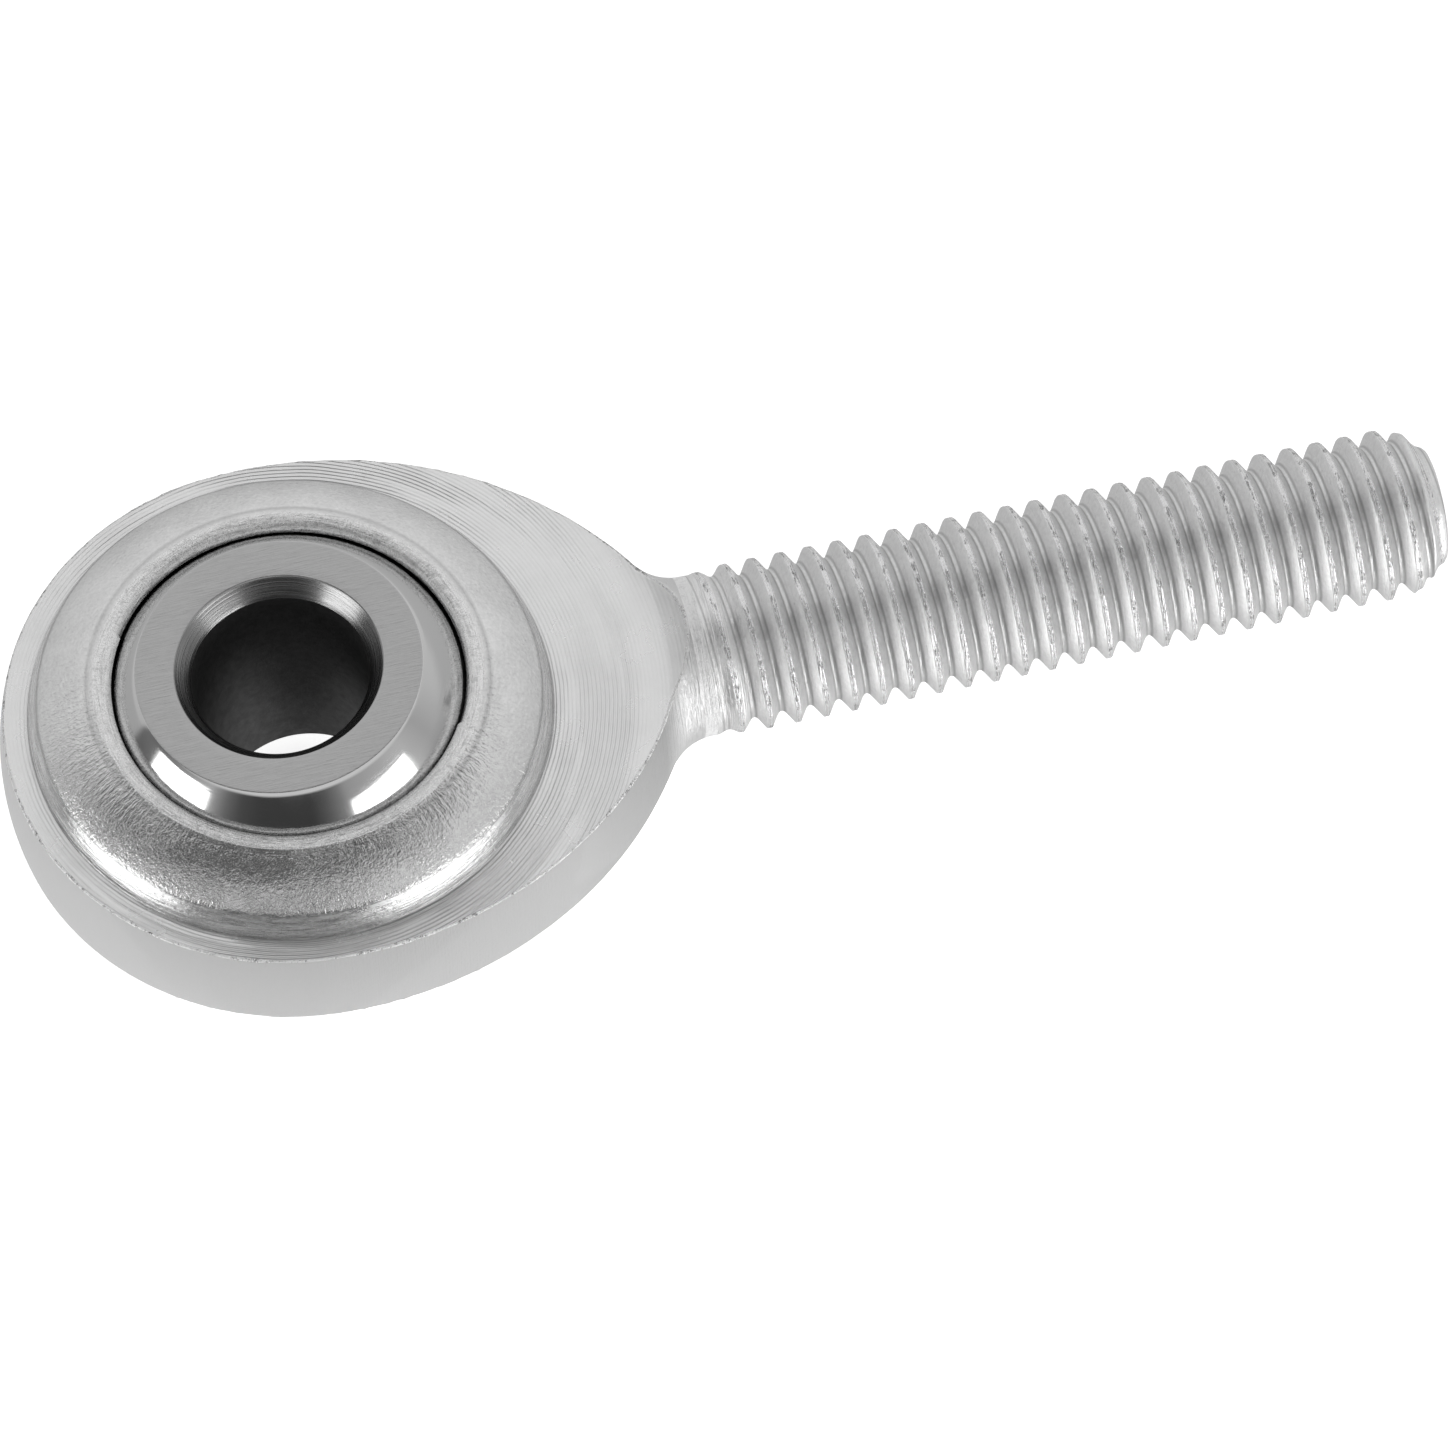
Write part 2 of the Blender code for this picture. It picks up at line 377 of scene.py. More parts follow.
def eye_top(angles, inner, corner, outer):
    """Rows from the socket's equator to the blank's surface, each with the zone of the faces that
    lead to it."""
    ring = np.stack([np.cos(angles), np.sin(angles)], 1)
    inner_r = np.hypot(inner[:, 0], inner[:, 1])
    rows = [(np.column_stack([ring * r, np.full(AROUND_EYE, z)]), zone)
            for r, z, zone in eye_section()]
    flat_end = np.minimum(inner_r, FACING_R)
    for share in FLAT_ROWS:
        r = DOME_FOOT_R + share * (flat_end - DOME_FOOT_R)
        rows.append((np.column_stack([ring * r[:, None], np.full(AROUND_EYE, FLAT_Z)]), FLAT))
    for share in RAMP_ROWS:
        r = flat_end + share * (inner_r - flat_end)
        rows.append((np.column_stack([ring * r[:, None], top_height(r)]), FLAT))
    return rows + [(corner, RIM), (outer, RIM)]


def body(materials):
    """The eye, neck and shank as one closed skin."""
    skin = Skin()
    angles = np.arange(AROUND_EYE) * TAU / AROUND_EYE
    inner, corner, outer = eye_rim(angles)
    top = eye_top(angles, inner, corner, outer)

    def chain(sign):
        """Rows outwards over one face of the eye, the socket's equator left out; sign is 1 for
        the upper face and -1 for the lower."""
        return [(skin.row(roughened(points * [1, 1, sign], zone)), zone)
                for points, zone in top[1:]]

    equator = skin.row(top[0][0])
    upper = chain(1)
    lower = chain(-1)
    previous = equator
    for row, zone in upper:
        skin.join(previous, row, zone)
        previous = row
    # The side band, left open where the neck leaves the eye.
    rim_up, rim_down = upper[-1][0], lower[-1][0]
    previous = rim_up + rim_up[:1]
    side = [skin.row(points) for points in side_rows(outer)]
    for row in side + [rim_down + rim_down[:1]]:
        skin.join(previous, row, SIDE, closed=False)
        previous = row
    previous = rim_down
    for (row, _), (_, zone) in zip(lower[-2::-1], lower[:0:-1]):
        skin.join(previous, row, zone)
        previous = row
    skin.join(previous, equator, SOCKET)

    neck = [rim_up[0]] + [row[0] for row in side] + [rim_down[0]] + [row[-1] for row in side[::-1]]
    shank(skin, neck, outer[0][0])
    return skin.build("rod_end_body_skin", materials)


def roughened(points, zone):
    """Points of one row, with the unevenness that pressing left in the lip: lumps, and a mouth that
    opens a little wider on one side, with a step at both ends of that side."""
    if zone != LIP:
        return points
    mouth = LIP_SECTION[0][0] * MM
    moved = []
    for x, y, z in points:
        off = (math.degrees(math.atan2(y, x)) - WIDE_MIDDLE + 180) % 360 - 180
        fade = max(0.0, 1 - (math.hypot(x, y) - mouth) / MOUTH_FADE)
        grow = 1 + (WIDE_GROWTH if abs(off) < WIDE_HALF else NARROW_GROWTH) * fade
        lift = LIP_LUMPS * bumps((x, y, z), 0.55 * MM, 1.0, 4)
        moved.append((x * grow, y * grow, z + math.copysign(lift, z)))
    return moved


def ball(materials):
    """The ball, leaning as in the photo: bore, chamfer, faces and spherical zone."""
    skin = Skin()
    radius, half, bore, edge = BALL_D / 2, BALL_W / 2, BORE_D / 2, BALL_EDGE_R
    rim = math.sqrt(radius ** 2 - half ** 2)
    chamfer, foot = bore + BORE_CHAMFER_R, half - BORE_CHAMFER_Z
    # (radius, z, zone of the faces that lead to it), up the bore, over the upper face, down the
    # sphere and over the lower face; the shares of edge round each corner off.
    outline = [(bore, level, BORE) for level in (-half + 1.3 * edge, -half / 2, 0, foot - edge)]
    outline += [(bore + 0.3 * edge, foot - 0.15 * edge, BORE),
                (bore + 0.9 * edge, foot + 0.9 * edge, CHAMFER)]
    outline += [(bore + BORE_CHAMFER_R * t, foot + BORE_CHAMFER_Z * t, CHAMFER)
                for t in (0.3, 0.6, 0.92)]
    outline += [(chamfer + 0.2 * edge, half - 0.1 * edge, CHAMFER), (chamfer + edge, half, FACE)]
    outline += [(chamfer + (rim - chamfer) * t, half, FACE) for t in (0.3, 0.7, 0.95)]
    outline += [(rim - 0.5 * edge, half - 0.1 * edge, FACE)]
    face_angle = math.asin(half / radius) - 0.9 * edge / radius
    outline += [(radius * math.cos(a), radius * math.sin(a), SPHERE)
                for a in np.linspace(face_angle, -face_angle, 56)]
    outline += [(rim - 0.5 * edge, -half + 0.1 * edge, FACE)]
    outline += [(rim + (bore - rim) * t, -half, FACE) for t in (0.05, 0.4, 0.8)]
    outline += [(bore + edge, -half, FACE), (bore + 0.3 * edge, -half + 0.3 * edge, BORE)]
    rows, zones = [], []
    for r, z, zone in outline:
        rows.append(skin.row([(r * math.cos(a), r * math.sin(a), z)
                              for a in np.arange(AROUND_BALL) * TAU / AROUND_BALL]))
        zones.append(zone)
    for i in range(len(rows)):
        skin.join(rows[i - 1], rows[i], zones[i])
    made = skin.build("ball_skin", materials)
    made.rotation_euler = (0, BALL_LEAN, 0)
    return made


# ---------------------------------------------------------------- materials

EDGE_TINT = 0.7                 # how much these metals brighten where seen edge-on
FACING_PITCH = 0.11 * MM
FACING_FADE = 9.2 * MM, 9.8 * MM    # radii between which the facing marks fade into the ramp
DEEP_SIDE = 0.64, -0.77, 0      # the facing marks are deepest towards here
# Distances along the shank: the side band clears to the bright neck, darkens before it with painted
# shadow, and its marks deepen; the thread's first turns change into full ones.
NECK_CLEARS = 9.7 * MM, 10.5 * MM
SIDE_DARKENS = 6.5 * MM, 9.8 * MM
MARKS_DEEPEN = 7 * MM, 10 * MM
FIRST_TURNS = 11.6 * MM, 13 * MM
TORN_MIDDLE = 0.03              # places in the thread's form, in pitches from the crest's middle
TORN_APART = 0.05               # from there to each of the two torn lines
# place in the form of the painted shade lines at the root's edges
ROOT_EDGE = 0.41


class Nodes:
    """A node tree, with short calls for the nodes used here."""

    def __init__(self, tree):
        self.tree = tree

    def node(self, kind, settings=(), **sockets):
        made = self.tree.nodes.new(kind)
        for key, value in dict(settings).items():
            setattr(made, key, value)
        for key, value in sockets.items():
            self.put(made.inputs[key], value)
        return made

    def put(self, socket, value):
        if isinstance(value, bpy.types.NodeSocket):
            self.tree.links.new(value, socket)
        else:
            socket.default_value = value

    def math(self, operation, *values):
        made = self.tree.nodes.new("ShaderNodeMath")
        made.operation = operation
        for socket, value in zip(made.inputs, values):
            self.put(socket, value)
        return made.outputs[0]

    def vector(self, operation, *values):
        made = self.tree.nodes.new("ShaderNodeVectorMath")
        made.operation = operation
        for socket, value in zip(made.inputs, values):
            self.put(socket, value)
        return made.outputs["Value" if operation in ("DOT_PRODUCT", "LENGTH") else "Vector"]

    def span(self, value, low, high, to_low=0.0, to_high=1.0):
        """Maps low..high to to_low..to_high, and holds the ends."""
        made = self.node("ShaderNodeMapRange", {"clamp": True})
        for socket, given in zip(made.inputs, (value, low, high, to_low, to_high)):
            self.put(socket, given)
        return made.outputs[0]

    def mix(self, share, low, high):
        """low where share is 0, high where it is 1."""
        return self.math("MULTIPLY_ADD", share, self.math("SUBTRACT", high, low), low)


class Finish(Nodes):
    """A metal. Its plain colour and roughness stay on the shader, under what nodes link there."""

    def __init__(self, name, colour, roughness, metallic=1.0):
        self.material = bpy.data.materials.new(name)
        self.material.use_nodes = True
        super().__init__(self.material.node_tree)
        self.shader = self.tree.nodes["Principled BSDF"]
        self.shader.inputs["Metallic"].default_value = metallic
        self.shader.inputs["Base Color"].default_value = (colour, colour, colour, 1)
        self.shader.inputs["Specular Tint"].default_value = (EDGE_TINT, EDGE_TINT, EDGE_TINT, 1)
        self.shader.inputs["Roughness"].default_value = roughness
        self.object = self.node("ShaderNodeTexCoord").outputs["Object"]

    def noise(self, at, scale, detail=3.0, roughness=0.6):
        made = self.node("ShaderNodeTexNoise", Vector=at, Scale=scale, Detail=detail,
                         Roughness=roughness)
        return made.outputs["Fac"]

    def radius(self):
        """Distance from the bore's axis."""
        parts = self.node("ShaderNodeSeparateXYZ", Vector=self.object).outputs
        flat = self.node("ShaderNodeCombineXYZ", X=parts[0], Y=parts[1])
        return self.vector("LENGTH", flat.outputs[0])

    def crease(self, radius, width, left):
        """Painted shade where two of the eye's rings meet at a radius: the share of light left
        there, 1 away from there.
        """
        away = self.math("ABSOLUTE", self.math("SUBTRACT", self.radius(), radius))
        return self.span(away, 0.0, width, left, 1.0)

    def turned(self, axis, along, around):
        """Coordinates in which noise runs in circles about an axis: along is the size of a lump
        square to the circles, around the length of one as an angle."""
        parts = self.node("ShaderNodeSeparateXYZ", Vector=self.object).outputs
        if axis == "Z":
            first, second, level = parts[0], parts[1], None
        else:
            first, second, level = parts[1], parts[2], parts[0]
        flat = self.node("ShaderNodeCombineXYZ", X=first, Y=second)
        unit = self.vector("NORMALIZE", flat.outputs[0])
        parts = self.node("ShaderNodeSeparateXYZ", Vector=unit).outputs
        if level is None:
            level = self.vector("LENGTH", flat.outputs[0])
        made = self.node("ShaderNodeCombineXYZ", X=self.math("DIVIDE", parts[0], around),
                         Y=self.math("DIVIDE", parts[1], around),
                         Z=self.math("DIVIDE", level, along))
        return made.outputs[0]

    def bump(self, height, depth, over=None):
        """Raises the surface by height times depth, in metres, over an earlier bump if given."""
        made = self.node("ShaderNodeBump", Height=height, Distance=depth, Strength=1.0)
        if over is not None:
            self.put(made.inputs["Normal"], over)
        return made.outputs["Normal"]

    def normal(self, value):
        self.put(self.shader.inputs["Normal"], value)

    def roughness(self, value):
        self.put(self.shader.inputs["Roughness"], value)

    def colour(self, value):
        made = self.node("ShaderNodeCombineColor")
        for socket in made.inputs[:3]:
            self.put(socket, value)
        self.put(self.shader.inputs["Base Color"], made.outputs[0])


def pressed_dome():
    """The dome's top, pressed by the tool: satin, with a close grain, and streaks that run down
    the slope. Clouds vary both."""
    finish = Finish("pressed_dome", 0.8, 0.2, 0.9)
    cloud = finish.noise(finish.object, 1 / (1.2 * MM), 4.0)
    grain = finish.noise(finish.object, 1 / (0.1 * MM), 3.0, 0.7)
    streaks = finish.noise(finish.turned("Z", 0.3 * MM, 0.016), 1.0, 3.0, 0.6)
    normal = finish.bump(grain, finish.span(cloud, 0.36, 0.62, 0.03 * MM, 0.014 * MM))
    depth = finish.span(cloud, 0.4, 0.6, 0.014 * MM, 0.024 * MM)
    finish.normal(finish.bump(streaks, depth, over=normal))
    finish.roughness(finish.span(cloud, 0.3, 0.7, 0.13, 0.2))
    speckle = finish.span(grain, 0.35, 0.62, 0.76, 0.92)
    shade = finish.mix(0.5, finish.span(cloud, 0.3, 0.7, 0.72, 0.86), speckle)
    # Painted shade: the colour darkens along the crease above the shoulder and along the seam by
    # the lip.
    shade = finish.math("MULTIPLY", shade, finish.crease(CREASE_R, 0.06 * MM, 0.7))
    finish.colour(finish.math("MULTIPLY", shade, finish.crease(SEAM_R, 0.1 * MM, 0.72)))
    return finish.material


def turned_shoulder():
    """The dome's steep shoulder, with the lines of its turning tool."""
    finish = Finish("turned_shoulder", 0.84, 0.22, 0.82)
    level = finish.node("ShaderNodeMapping", Vector=finish.object, Scale=(0.08, 0.08, 1)).outputs[0]
    lines = finish.noise(level, 1 / (0.07 * MM), 3.0)
    grain = finish.noise(finish.object, 1 / (0.12 * MM), 3.0)
    normal = finish.bump(lines, 0.03 * MM)
    finish.normal(finish.bump(grain, 0.012 * MM, over=normal))
    finish.roughness(finish.span(lines, 0.3, 0.7, 0.18, 0.34))
    # Painted shade: the colour darkens at the dome's foot and along the crease at the shoulder's
    # top.
    foot = finish.crease(DOME_FOOT_R, 0.05 * MM, 0.6)
    shade = finish.math("MULTIPLY", finish.span(lines, 0.4, 0.6, 0.7, 0.92), foot)
    finish.colour(finish.math("MULTIPLY", shade, finish.crease(CREASE_R, 0.04 * MM, 0.6)))
    return finish.material


def faced_flat():
    """The faced sides: fine rings of facing marks, which the tool cut deepest on one side."""
    finish = Finish("faced_flat", 0.78, 0.28, 0.65)
    radius = finish.radius()
    wander = finish.math("MULTIPLY", finish.noise(finish.object, 1 / (2.5 * MM), 2.0), 6.0)
    phase = finish.math("MULTIPLY_ADD", radius, TAU / FACING_PITCH, wander)
    patches = finish.noise(finish.turned("Z", 0.5 * MM, 0.6), 1.0, 2.0)
    strong = finish.math("MULTIPLY", finish.span(patches, 0.35, 0.5, 0.4, 1.0),
                         finish.span(radius, *FACING_FADE, 1.0, 0.15))
    groove = finish.math("MULTIPLY", finish.math("SINE", phase), strong)
    side = finish.vector("DOT_PRODUCT", finish.object, DEEP_SIDE)
    lines = finish.noise(finish.turned("Z", 0.06 * MM, 0.7), 1.0, 2.0, 0.5)
    grain = finish.noise(finish.object, 1 / (0.12 * MM), 3.0)
    normal = finish.bump(groove, finish.span(side, 3 * MM, 7 * MM, 0.005 * MM, 0.012 * MM))
    normal = finish.bump(lines, 0.004 * MM, over=normal)
    finish.normal(finish.bump(grain, 0.004 * MM, over=normal))
    cloud = finish.noise(finish.object, 1 / (1.5 * MM), 4.0)
    finish.roughness(finish.span(cloud, 0.3, 0.7, 0.2, 0.3))
    shade = finish.span(cloud, 0.3, 0.7, 0.86, 0.96)
    # Painted shadow: the colour darkens round the dome's foot.
    finish.colour(finish.math("MULTIPLY", shade, finish.crease(DOME_FOOT_R, 0.06 * MM, 0.8)))
    return finish.material


def pressed_lip():
    """The coined lip: bright, rubbed along its length, with fine marks across it and lumps."""
    finish = Finish("pressed_lip", 0.88, 0.3, 0.75)
    rubbed = finish.noise(finish.turned("Z", 0.04 * MM, 0.17), 1.0, 4.0, 0.65)
    across = finish.noise(finish.turned("Z", 0.15 * MM, 0.01), 1.0, 3.0, 0.6)
    lumps = finish.noise(finish.object, 1 / (0.18 * MM), 4.0, 0.7)
    normal = finish.bump(lumps, 0.014 * MM)
    normal = finish.bump(rubbed, 0.026 * MM, over=normal)
    finish.normal(finish.bump(across, 0.012 * MM, over=normal))
    finish.roughness(finish.span(lumps, 0.3, 0.7, 0.18, 0.34))
    bright = finish.math("MULTIPLY", finish.span(rubbed, 0.34, 0.5, 0.72, 0.98),
                         finish.span(lumps, 0.32, 0.48, 0.75, 1.0))
    # Painted shade: the colour darkens along the seam between the lip and the dome.
    finish.colour(finish.math("MULTIPLY", bright, finish.crease(SEAM_R, 0.1 * MM, 0.72)))
    return finish.material


def side_band():
    """The turned side of the eye: dull plating that clears to bright turning marks at the neck."""
    finish = Finish("side_band", 0.52, 0.6)
    along = finish.node("ShaderNodeSeparateXYZ", Vector=finish.object).outputs[0]
    neck = finish.span(along, *NECK_CLEARS)
    # Painted shadow: the plating darkens towards the neck.
    shadow = finish.span(along, *SIDE_DARKENS, 0.53, 0.4)
    grain = finish.noise(finish.object, 1 / (0.1 * MM), 4.0)
    marks = finish.noise(finish.turned("X", 0.05 * MM, 0.5), 1.0, 3.0)
    normal = finish.bump(marks, finish.span(along, *MARKS_DEEPEN, 0.008 * MM, 0.045 * MM))
    finish.normal(finish.bump(grain, 0.012 * MM, over=normal))
    finish.roughness(finish.mix(neck, 0.6, 0.34))
    finish.colour(finish.mix(neck, shadow, 0.8))
    finish.put(finish.shader.inputs["Metallic"], finish.mix(neck, 0.15, 0.55))
    return finish.material


def rolled_thread():
    """The thread: dull flanks, and a crest whose seam the rolling left torn and nicked. The first
    turns are brighter, and keep more of the turning marks."""
    finish = Finish("rolled_thread", 0.85, 0.36, 0.66)
    parts = finish.node("ShaderNodeSeparateXYZ", Vector=finish.object).outputs
    turn = finish.math("DIVIDE", finish.math("ARCTAN2", parts[2], parts[1]), TAU)
    along = finish.math("DIVIDE", finish.math("SUBTRACT", parts[0], CREST_PHASE), PITCH)
    place = finish.math("WRAP", finish.math("SUBTRACT", along, turn), 0.5, -0.5)
    # Two torn lines run along the crest, a little to its far side.
    beside = finish.math("ABSOLUTE", finish.math("SUBTRACT", place, TORN_MIDDLE))
    line = finish.math("ABSOLUTE", finish.math("SUBTRACT", beside, TORN_APART))
    line = finish.span(line, 0.01, 0.05, 1.0, 0.0)
    # Painted shade: dark lines along both edges of the root, where the flanks meet it.
    foot = finish.math("SUBTRACT", finish.math("ABSOLUTE", place), ROOT_EDGE)
    foot = finish.span(finish.math("ABSOLUTE", foot), 0.01, 0.06, 1.0, 0.0)
    torn = finish.noise(finish.turned("X", 0.06 * MM, 0.13), 1.0, 3.0, 0.7)
    where = finish.noise(finish.object, 1 / (0.45 * MM), 3.0)
    nicks = finish.math("MULTIPLY", finish.span(torn, 0.47, 0.58), finish.span(where, 0.49, 0.6))
    nicks = finish.math("MULTIPLY", line, nicks)
    lines = finish.noise(finish.turned("X", 0.04 * MM, 0.9), 1.0, 2.0)
    grain = finish.noise(finish.object, 1 / (0.14 * MM), 4.0, 0.7)
    normal = finish.bump(nicks, -0.07 * MM)
    first_turns = finish.span(parts[0], *FIRST_TURNS, 1.0, 0.0)
    traces = finish.mix(first_turns, 0.02 * MM, 0.05 * MM)
    normal = finish.bump(lines, traces, over=normal)
    finish.normal(finish.bump(grain, 0.02 * MM, over=normal))
    finish.roughness(finish.mix(line, finish.span(grain, 0.3, 0.7, 0.28, 0.4), 0.2))
    # The metal's grain tone, with the painted shade at the root's edges; the first turns brighter.
    metal_and_root_shade = finish.mix(foot, finish.span(grain, 0.3, 0.6, 0.84, 0.96), 0.6)
    metal_and_root_shade = finish.math("MULTIPLY", metal_and_root_shade, finish.mix(first_turns, 1.0, 1.12))
    finish.colour(finish.mix(nicks, metal_and_root_shade, 0.76))
    return finish.material


def turned_neck():
    """The neck behind the thread: bright, with turning marks and the first traces of rolling."""
    finish = Finish("turned_neck", 0.9, 0.5, 0.3)
    marks = finish.noise(finish.turned("X", 0.07 * MM, 0.5), 1.0, 3.0)
    nicks = finish.noise(finish.object, 1 / (0.2 * MM), 4.0, 0.7)
    normal = finish.bump(marks, 0.05 * MM)
    finish.normal(finish.bump(nicks, 0.03 * MM, over=normal))
    finish.roughness(finish.span(nicks, 0.3, 0.7, 0.3, 0.5))
    finish.colour(finish.span(nicks, 0.36, 0.48, 0.86, 1.0))
    return finish.material


def broken_rim():
    """The rim of the flats, where the facing tool broke the turned edge."""
    finish = Finish("broken_rim", 0.9, 0.3, 0.85)
    fine = finish.noise(finish.object, 1 / (0.12 * MM), 4.0, 0.75)
    patches = finish.noise(finish.object, 1 / (0.7 * MM), 2.0)
    flecks = finish.mix(0.35, fine, patches)
    finish.normal(finish.bump(flecks, 0.09 * MM))
    finish.roughness(finish.span(flecks, 0.35, 0.65, 0.2, 0.4))
    finish.colour(finish.span(flecks, 0.4, 0.49, 0.4, 0.96))
    return finish.material


def socket_painted_shade():
    """The socket inside the eye, darkened as painted shade: only the gap round the ball shows it.
    """
    return Finish("socket_painted_shade", 0.15, 0.5).material


def polished_ball():
    """The hard chromed sphere: polished, with faint rings."""
    finish = Finish("polished_ball", 0.72, 0.07)
    level = finish.node("ShaderNodeMapping", Vector=finish.object, Scale=(0.05, 0.05, 1)).outputs[0]
    rings = finish.noise(level, 1 / (0.08 * MM), 2.0)
    haze = finish.noise(finish.object, 1 / (1.0 * MM), 3.0)
    finish.normal(finish.bump(rings, 0.0015 * MM))
    finish.roughness(finish.span(haze, 0.3, 0.7, 0.08, 0.14))
    return finish.material


def ball_face():
    """The ball's ends: ground flat, with fine straight lines and a few smudges."""
    finish = Finish("ball_face", 0.44, 0.34)
    ground = finish.node("ShaderNodeMapping", Vector=finish.object, Scale=(0.08, 1, 1)).outputs[0]
    lines = finish.noise(ground, 1 / (0.05 * MM), 3.0)
    smudges = finish.noise(finish.object, 1 / (0.35 * MM), 5.0, 0.75)
    finish.normal(finish.bump(lines, 0.008 * MM))
    finish.roughness(finish.span(smudges, 0.3, 0.7, 0.28, 0.42))
    finish.colour(finish.mix(lines, finish.span(smudges, 0.35, 0.65, 0.36, 0.48), 0.54))
    return finish.material


def bored_chamfer():
    """The chamfer at the bore's upper end, with its fine turning lines."""
    finish = Finish("bored_chamfer", 0.36, 0.26)
    lines = finish.noise(finish.turned("Z", 0.04 * MM, 1.5), 1.0, 2.0)
    finish.normal(finish.bump(lines, 0.007 * MM))
    finish.roughness(finish.span(lines, 0.3, 0.7, 0.2, 0.32))
    return finish.material


def bored_hole():
    """The bore: dull, darkened as painted shade, with faint stains."""
    finish = Finish("bored_hole", 0.1, 0.62)
    stains = finish.noise(finish.object, 1 / (0.25 * MM), 5.0, 0.7)
    finish.normal(finish.bump(stains, 0.012 * MM))
    # Painted shade: the bore's colour stays very dark; the stains vary it a little.
    finish.colour(finish.span(stains, 0.35, 0.65, 0.075, 0.11))
    return finish.material


# ---------------------------------------------------------------- studio

VIEW_AZIMUTH = math.radians(-12.30)
VIEW_ELEVATION = math.radians(59.62)
VIEW_ROLL = math.radians(-0.99)
LENS, SENSOR = 292.07, 36        # in mm
AIM_RIGHT = 11.735 * MM          # the middle of the view, from the ball's centre
AIM_UP = 0.381 * MM
DISTANCE = 319.365 * MM          # from the ball's centre, along the line of sight

FLOOR_Z = -4.65 * MM             # just under the ball where it tilts furthest
FLOOR_HALF = 3.0                 # half of the floor's width

FRONT = 258                      # the camera's side, degrees from +X towards +Y
TENT = 1.05                      # radiance of the pale cloth behind and above the object
WALL = 0.9                       # of the wall above the softboxes
CEILING = 0.07                   # of the dark above the camera
TABLE = 0.58                     # of the table top right under the object
BACKDROP = 1.05                  # of what the camera sees past the floor
IN_TABLE = 0.8                   # how much of the studio the table top returns
SOFTBOX = 2.7                    # radiance of the two upright softboxes
SOFTBOX_IN_TABLE = 2.3           # the softboxes again, mirrored in the table top
SOFTBOX_AWAY = 0.6               # metres from the object
SOFTBOXES = ("left", 195, 34), ("right", 310, 38)    # azimuth and width in degrees
# Elevations in degrees over which one part of the studio gives way to the next
TABLE_TO_MIRROR = -52, -48
MIRROR_TO_HORIZON = -3, 3
HORIZON_TO_WALL = 29, 37
WALL_TO_CEILING = 51, 57
WALL_TO_TENT = 28, 37
OVERHEAD_TO_TENT = 99, 104       # these from the front, over the top
CEILING_LEFT = 100               # how far to the left the ceiling's edge keeps dropping
CEILING_DROP = 0.22              # how much, for each degree to the left
# Bearing from the camera's side in degrees, and radiance there, near the horizon.
HORIZON = ((-180, 0.95), (-97, 0.7), (-95, 0.22), (-82, 0.22), (-47, 0.65), (-44, 0.45),
           (-36, 0.2), (-28, 0.1), (-16, 0.065), (12, 0.065), (20, 0.14), (28, 0.28), (33, 0.45),
           (72, 0.7), (88, 0.55), (110, 0.75), (180, 0.95))


def on_sky(azimuth, elevation):
    """Unit vector towards a place in the studio; azimuth in degrees from +X towards +Y."""
    a, e = math.radians(azimuth), math.radians(elevation)
    return Vector((math.cos(a) * math.cos(e), math.sin(a) * math.cos(e), math.sin(e)))


def camera():
    """The camera at the photo's viewing angle."""
    a, e = VIEW_AZIMUTH, VIEW_ELEVATION
    back = Vector((math.sin(a) * math.cos(e), -math.cos(a) * math.cos(e), math.sin(e)))
    level = (-back).cross(Vector((0, 0, 1))).normalized()
    upright = level.cross(-back)
    right = level * math.cos(VIEW_ROLL) + upright * math.sin(VIEW_ROLL)
    up = upright * math.cos(VIEW_ROLL) - level * math.sin(VIEW_ROLL)
    data = bpy.data.cameras.new("camera")
    data.lens, data.sensor_width = LENS, SENSOR
    data.clip_start, data.clip_end = 0.01, 20
    made = bpy.data.objects.new("camera", data)
    place = right * AIM_RIGHT + up * AIM_UP + back * DISTANCE
    made.matrix_world = (Matrix.Translation(place)
                         @ Matrix((right, up, back)).transposed().to_4x4())
    bpy.context.scene.collection.objects.link(made)
    bpy.context.scene.camera = made


def floor():
    """The plain pale floor. It glows a little, blocks no light and isn't mirrored in the metals:
    the studio's own table top is."""
    mesh = bpy.data.meshes.new("floor")
    mesh.from_pydata([(x * FLOOR_HALF, y * FLOOR_HALF, FLOOR_Z)
                      for x, y in ((-1, -1), (1, -1), (1, 1), (-1, 1))], [], [(0, 1, 2, 3)])
    made = bpy.data.objects.new("floor", mesh)
    bpy.context.scene.collection.objects.link(made)
    paper = bpy.data.materials.new("white_floor")
    paper.use_nodes = True
    shader = paper.node_tree.nodes["Principled BSDF"]
    shader.inputs["Base Color"].default_value = (0.9, 0.9, 0.9, 1)
    shader.inputs["Roughness"].default_value = 0.9
    shader.inputs["Specular IOR Level"].default_value = 0.0
    shader.inputs["Emission Color"].default_value = (1, 1, 1, 1)
    shader.inputs["Emission Strength"].default_value = 0.75
    mesh.materials.append(paper)
    made.visible_glossy = made.visible_shadow = False


def softbox(name, azimuth, low, high, width, radiance):
    """An upright rectangular light; its azimuth, lower and upper elevation and width are in
    degrees, as seen from the object."""
    data = bpy.data.lights.new(name, "AREA")
    data.shape = "RECTANGLE"
    bottom, top = (SOFTBOX_AWAY * math.tan(math.radians(e)) for e in (low, high))
    data.size = 2 * SOFTBOX_AWAY * math.tan(math.radians(width / 2))
    data.size_y = top - bottom
    data.energy = radiance * math.pi * data.size * data.size_y
    made = bpy.data.objects.new(name, data)
    towards = on_sky(azimuth, 0)
    made.location = towards * SOFTBOX_AWAY + Vector((0, 0, (bottom + top) / 2))
    made.rotation_mode = "QUATERNION"
    made.rotation_quaternion = towards.to_track_quat("Z", "Y")
    made.visible_camera = False
    bpy.context.scene.collection.objects.link(made)


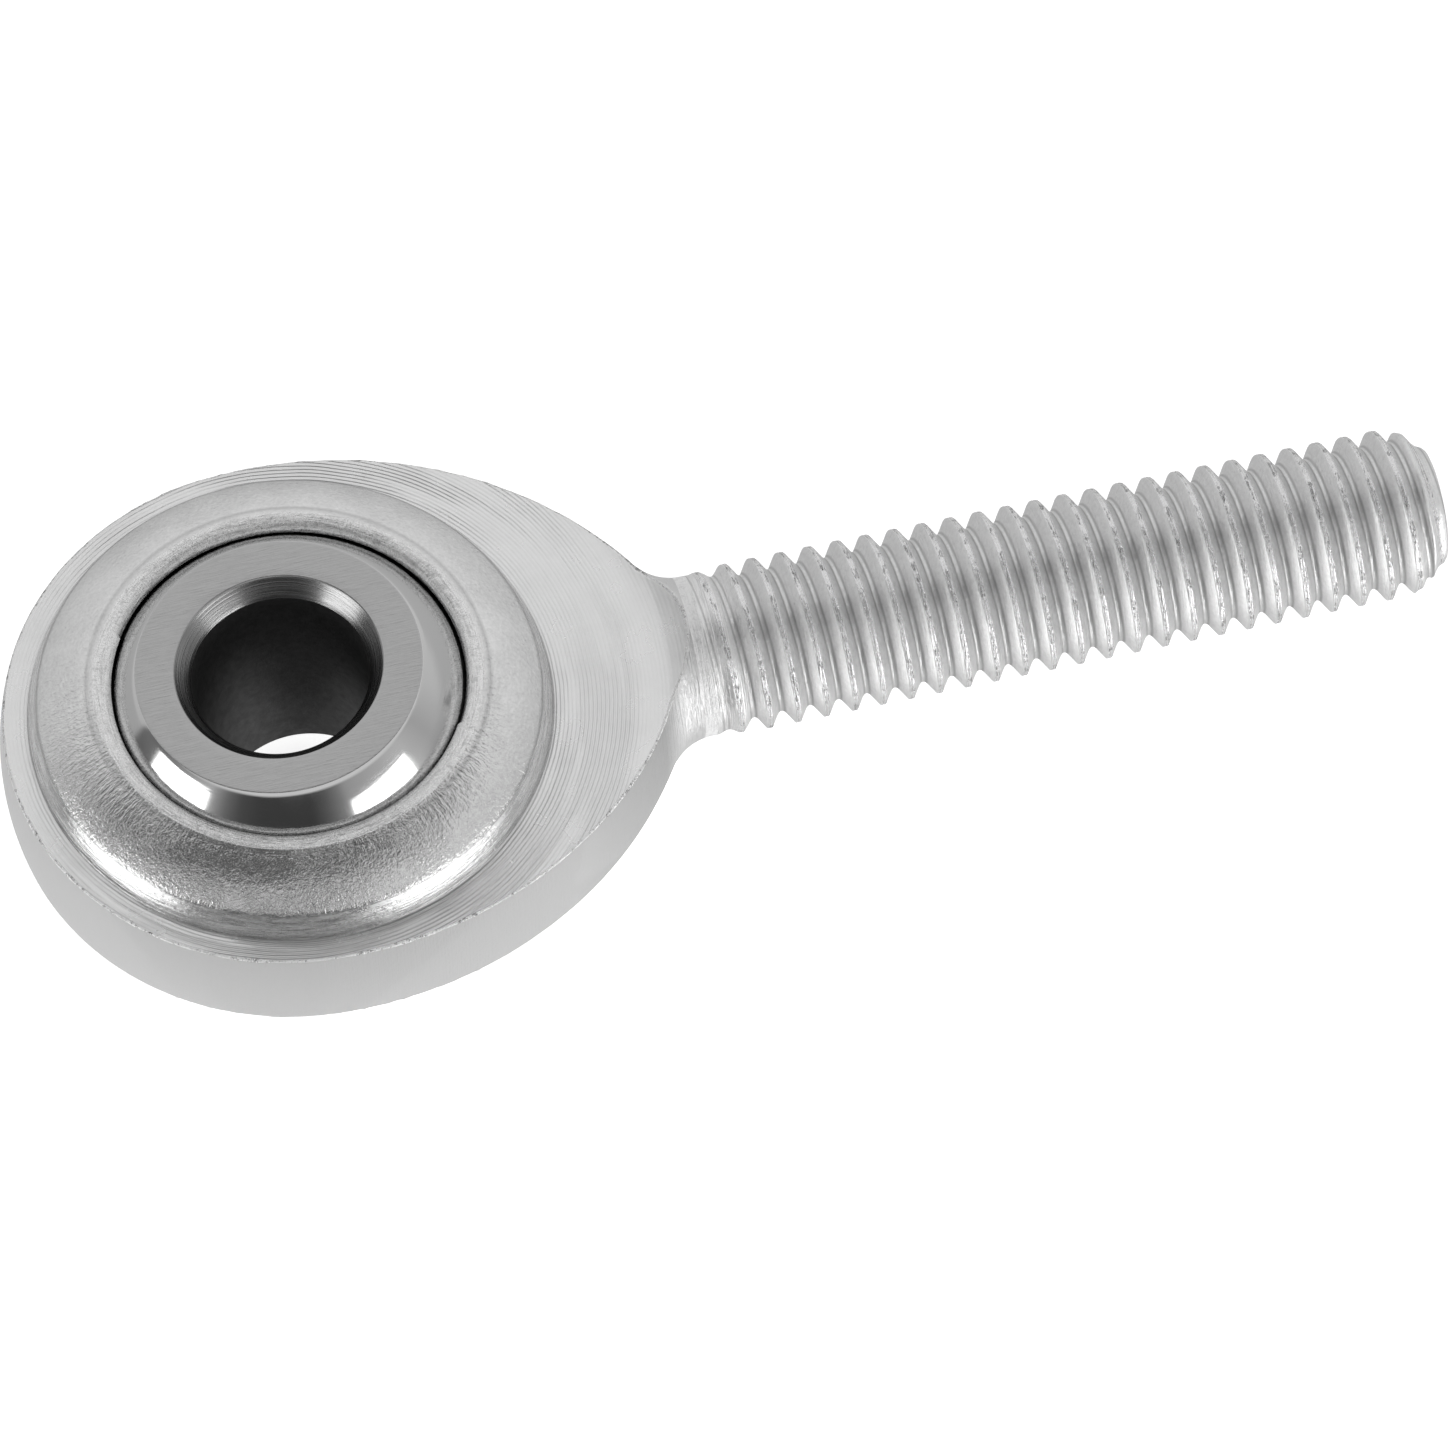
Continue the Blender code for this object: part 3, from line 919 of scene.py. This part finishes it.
def surroundings():
    """The studio beyond the softboxes: a pale tent behind and beside the object, a dark gap in
    front of it and a dark ceiling above the camera."""
    world = bpy.data.worlds.new("studio")
    bpy.context.scene.world = world
    world.use_nodes = True
    world.node_tree.nodes.clear()
    nodes = Nodes(world.node_tree)
    direction = nodes.node("ShaderNodeTexCoord").outputs["Generated"]
    ahead, aside, up = (nodes.vector("DOT_PRODUCT", direction, axis)
                        for axis in (on_sky(FRONT, 0), on_sky(FRONT + 90, 0), (0, 0, 1)))
    bearing = nodes.math("DEGREES", nodes.math("ARCTAN2", aside, ahead))
    height = nodes.math("DEGREES", nodes.math("ARCSINE", up))
    overhead = nodes.math("DEGREES", nodes.math("ARCTAN2", up, ahead))
    around = nodes.node("ShaderNodeValToRGB")
    nodes.put(around.inputs["Fac"], nodes.span(bearing, -180, 180))
    stops = around.color_ramp.elements
    for i, (degrees, radiance) in enumerate(HORIZON):
        stop = stops[i] if i < len(stops) else stops.new(1.0)
        stop.position = (degrees + 180) / 360
        stop.color = (radiance, radiance, radiance, 1)
    low = nodes.math("MULTIPLY", around.outputs[0],
                     nodes.span(height, *MIRROR_TO_HORIZON, IN_TABLE, 1.0))
    light = nodes.mix(nodes.span(height, *TABLE_TO_MIRROR), TABLE, low)
    light = nodes.mix(nodes.span(height, *HORIZON_TO_WALL), light, WALL)
    # The ceiling hangs lower on the left, and ends just behind the object.
    left = nodes.span(bearing, -CEILING_LEFT, 0, CEILING_LEFT, 0)
    under = nodes.math("MULTIPLY_ADD", left, CEILING_DROP, height)
    light = nodes.mix(nodes.span(under, *WALL_TO_CEILING), light, CEILING)
    behind = nodes.math("MULTIPLY", nodes.span(overhead, *OVERHEAD_TO_TENT),
                        nodes.span(height, *WALL_TO_TENT))
    light = nodes.mix(behind, light, TENT)
    glow = nodes.node("ShaderNodeBackground", Strength=light)
    white = nodes.node("ShaderNodeBackground", Strength=BACKDROP)
    path = nodes.node("ShaderNodeLightPath")
    mix = nodes.node("ShaderNodeMixShader")
    for socket, output in zip(mix.inputs, (path.outputs["Is Camera Ray"], glow.outputs[0],
                                           white.outputs[0])):
        nodes.put(socket, output)
    out = nodes.node("ShaderNodeOutputWorld")
    nodes.put(out.inputs["Surface"], mix.outputs[0])


def studio():
    """Camera, floor, lights and the plain display of their colours."""
    camera()
    floor()
    surroundings()
    for side, azimuth, width in SOFTBOXES:
        softbox(side + "_softbox", azimuth, 0, 16, width, SOFTBOX)
        softbox(side + "_softbox_in_table", azimuth, -50, 0, width, SOFTBOX_IN_TABLE)
    bpy.context.scene.view_settings.view_transform = "Standard"


# ---------------------------------------------------------------- scene

body_skin = body([socket_painted_shade(), pressed_lip(), pressed_dome(), turned_shoulder(), faced_flat(),
                  broken_rim(), side_band(), turned_neck(), rolled_thread()])
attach(body_skin, "rod_end_body")
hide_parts("rod_end_body")

ball_skin = ball([polished_ball(), ball_face(), bored_chamfer(), bored_hole()])
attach(ball_skin, "ball")
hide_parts("ball")

studio()
